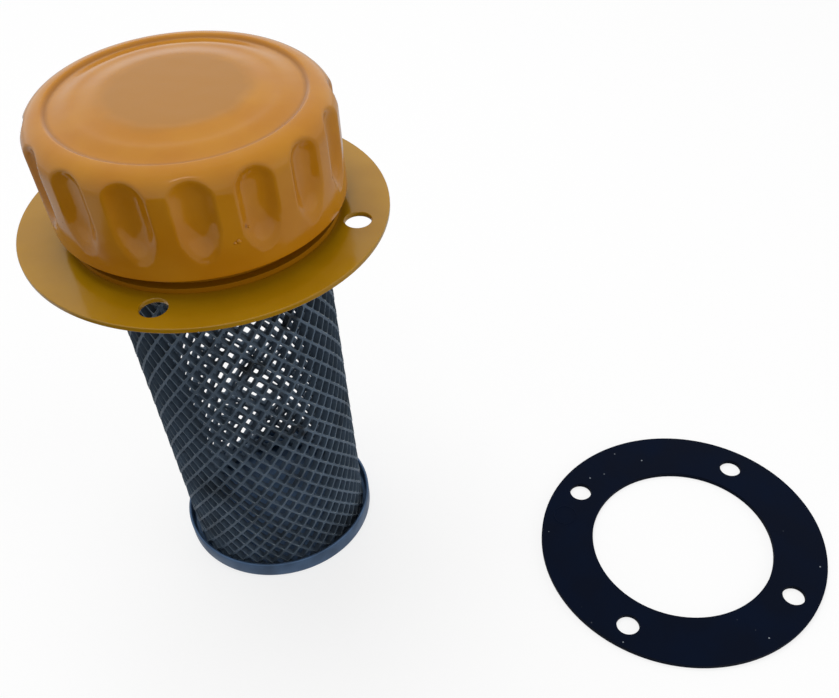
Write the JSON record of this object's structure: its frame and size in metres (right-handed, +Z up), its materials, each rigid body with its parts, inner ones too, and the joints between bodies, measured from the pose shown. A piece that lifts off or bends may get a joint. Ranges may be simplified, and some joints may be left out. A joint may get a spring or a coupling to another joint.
{
  "type": "hydraulic filler breather",
  "caption": "Fluted bayonet breather cap on a round bolted flange, with a tubular expanded-metal strainer hanging below it and its flat rubber gasket laid beside it.",
  "frame": {"origin": "on the breather's axis, at the underside of the strainer's cup on which it stands", "axes": "+Z up the breather's axis from the strainer to the cap; +X from the axis towards the gasket that lies beside it and through one flange hole"},
  "size_m": [0.2078, 0.0844, 0.1341],
  "materials": {
    "paint_cap": "glossy ochre enamel over pressed steel",
    "paint": "glossy ochre enamel over flat steel sheet",
    "paint_neck": "ochre enamel, thin in the corners",
    "plated_steel": "zinc-plated sheet steel",
    "spring_steel": "drawn spring wire, oiled",
    "mesh_steel": "dark slate-blue expanded steel",
    "blued_steel": "blue-grey smooth sheet steel",
    "gasket_rubber": "matt black sheet rubber",
    "seal_rubber": "matt black moulded rubber",
    "filter_foam": "open-cell filter foam"
  },
  "bodies": {
    "base": {"mounting_flange": "paint", "filler_neck": "paint_neck", "strainer_rim": "plated_steel", "strainer_mesh": "mesh_steel", "strainer_cup": "blued_steel", "flange_gasket": "gasket_rubber"},
    "seal": {"cap_seal": "seal_rubber"},
    "cap": {"cap_cover": "paint_cap", "cap_pan": "plated_steel", "filter_element": "filter_foam", "element_core": "plated_steel", "spacer": "plated_steel", "bayonet_bar": "plated_steel", "cap_spring": "spring_steel", "spring_washer": "plated_steel", "centre_rivet": "plated_steel"}
  },
  "joints": [
    {"name": "cap_lift", "type": "slide", "parent": "base", "child": "seal", "axis": [0, 0, 1], "range_m": [0, 0.045]},
    {"name": "cap_turn", "type": "hinge", "parent": "seal", "child": "cap", "pos_m": [0, 0, 0.12], "axis": [0, 0, -1], "range_deg": [0, 60]}
  ]
}
